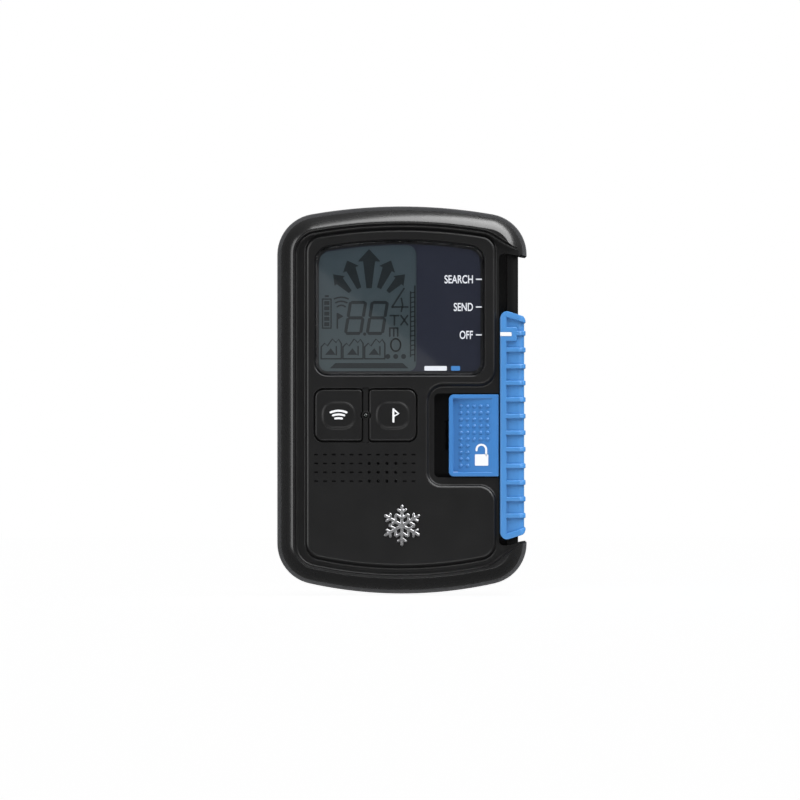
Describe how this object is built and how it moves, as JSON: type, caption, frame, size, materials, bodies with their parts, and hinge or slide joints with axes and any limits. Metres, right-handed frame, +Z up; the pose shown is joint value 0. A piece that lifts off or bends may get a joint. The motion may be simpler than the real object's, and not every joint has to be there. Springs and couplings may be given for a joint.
{
  "type": "avalanche transceiver",
  "caption": "Hand-held rescue transceiver with a display, a sliding mode switch with a lock, two keys and a hinged battery door.",
  "frame": {"origin": "middle of the base, at the lowest point of the arched lower edge and half-way through the depth", "axes": "+X towards the mode switch, +Y towards the battery door, so the display faces -Y, +Z up along the case"},
  "size_m": [0.076, 0.029, 0.118],
  "materials": {
    "shell_plastic": "fine satin texture, semi-gloss rim",
    "case_plastic": "fine satin texture",
    "silicone": "matt",
    "screw_steel": "zinc plated",
    "insert_brass": "machined",
    "window_glass": "clear hard-coated window",
    "print_ink": "screen print",
    "display_glass": "reflective display",
    "light_guide": "diffuse",
    "frame_plastic": "moulded",
    "connector_rubber": "striped elastomer",
    "key_plastic": "soft-touch",
    "contact_metal": "nickel plated",
    "lens_plastic": "clear light pipe, unlit",
    "mesh_metal": "woven mesh",
    "speaker_plastic": "moulded",
    "badge_metal": "brushed",
    "switch_plastic": "satin",
    "white_plastic": "satin",
    "magnet_metal": "nickel plated",
    "spring_steel": "drawn",
    "cell_jacket": "printed jacket, plain",
    "board_laminate": "solder mask",
    "chip_resin": "moulded resin",
    "ferrite": "sintered",
    "copper_wire": "enamelled winding",
    "bobbin_plastic": "natural nylon"
  },
  "bodies": {
    "root": {"front_housing": "shell_plastic", "rear_housing": "case_plastic", "housing_seal": "silicone", "housing_screws": "screw_steel", "screw_inserts": "insert_brass", "display_window": "window_glass", "window_gasket": "silicone", "window_print": "print_ink", "lcd_panel": "display_glass", "lcd_backlight": "light_guide", "lcd_frame": "frame_plastic", "lcd_connector": "connector_rubber", "scan_boot": "silicone", "mark_boot": "silicone", "keypad_membrane": "silicone", "key_switches": "contact_metal", "status_lens": "lens_plastic", "status_led": "light_guide", "speaker_mesh": "mesh_metal", "speaker": "speaker_plastic", "badge": "badge_metal", "detent_spring": "spring_steel", "lock_spring": "spring_steel", "door_insert": "insert_brass", "battery_cell_1": "cell_jacket", "battery_cell_2": "cell_jacket", "battery_cell_3": "cell_jacket", "contact_springs": "spring_steel", "contact_plates": "contact_metal", "main_board": "board_laminate", "board_screws": "screw_steel", "processor_chip": "chip_resin", "radio_module": "contact_metal", "hall_sensors": "chip_resin", "antenna_x_core": "ferrite", "antenna_x_winding": "copper_wire", "antenna_y_core": "ferrite", "antenna_y_winding": "copper_wire", "antenna_z_coil": "copper_wire", "antenna_z_bobbin": "bobbin_plastic", "antenna_clips": "bobbin_plastic"},
    "switch": {"slide_switch": "switch_plastic", "switch_index_mark": "white_plastic", "switch_magnet": "magnet_metal"},
    "lock": {"lock_button": "switch_plastic", "lock_retainer": "frame_plastic"},
    "scan_key": {"scan_button": "key_plastic"},
    "mark_key": {"mark_button": "key_plastic"},
    "door": {"battery_door": "case_plastic", "door_seal": "silicone"},
    "coin_bolt": {"door_screw": "screw_steel"}
  },
  "joints": [
    {"name": "switch_slide", "type": "slide", "parent": "root", "child": "switch", "axis": [0, 0, 1], "range_m": [0, 0.01686], "deforming": ["detent_spring"]},
    {"name": "lock_slide", "type": "slide", "parent": "root", "child": "lock", "axis": [-1, 0, 0], "range_m": [0, 0.0042], "stiffness_N_per_m": 150, "springref_m": -0.003, "deforming": ["lock_spring"]},
    {"name": "scan_press", "type": "slide", "parent": "root", "child": "scan_key", "axis": [0, 1, 0], "range_m": [0, 0.0008], "stiffness_N_per_m": 700, "springref_m": -0.0004, "deforming": ["scan_boot"]},
    {"name": "mark_press", "type": "slide", "parent": "root", "child": "mark_key", "axis": [0, 1, 0], "range_m": [0, 0.0008], "stiffness_N_per_m": 700, "springref_m": -0.0004, "deforming": ["mark_boot"]},
    {"name": "door_swing", "type": "hinge", "parent": "root", "child": "door", "pos_m": [0, 0.0132, 0.0669], "axis": [1, 0, 0], "range_deg": [0, 75]},
    {"name": "coin_turn", "type": "hinge", "parent": "door", "child": "coin_bolt", "pos_m": [0, 0.0145, 0.0099], "axis": [0, 1, 0], "range_deg": [0, 360]}
  ]
}
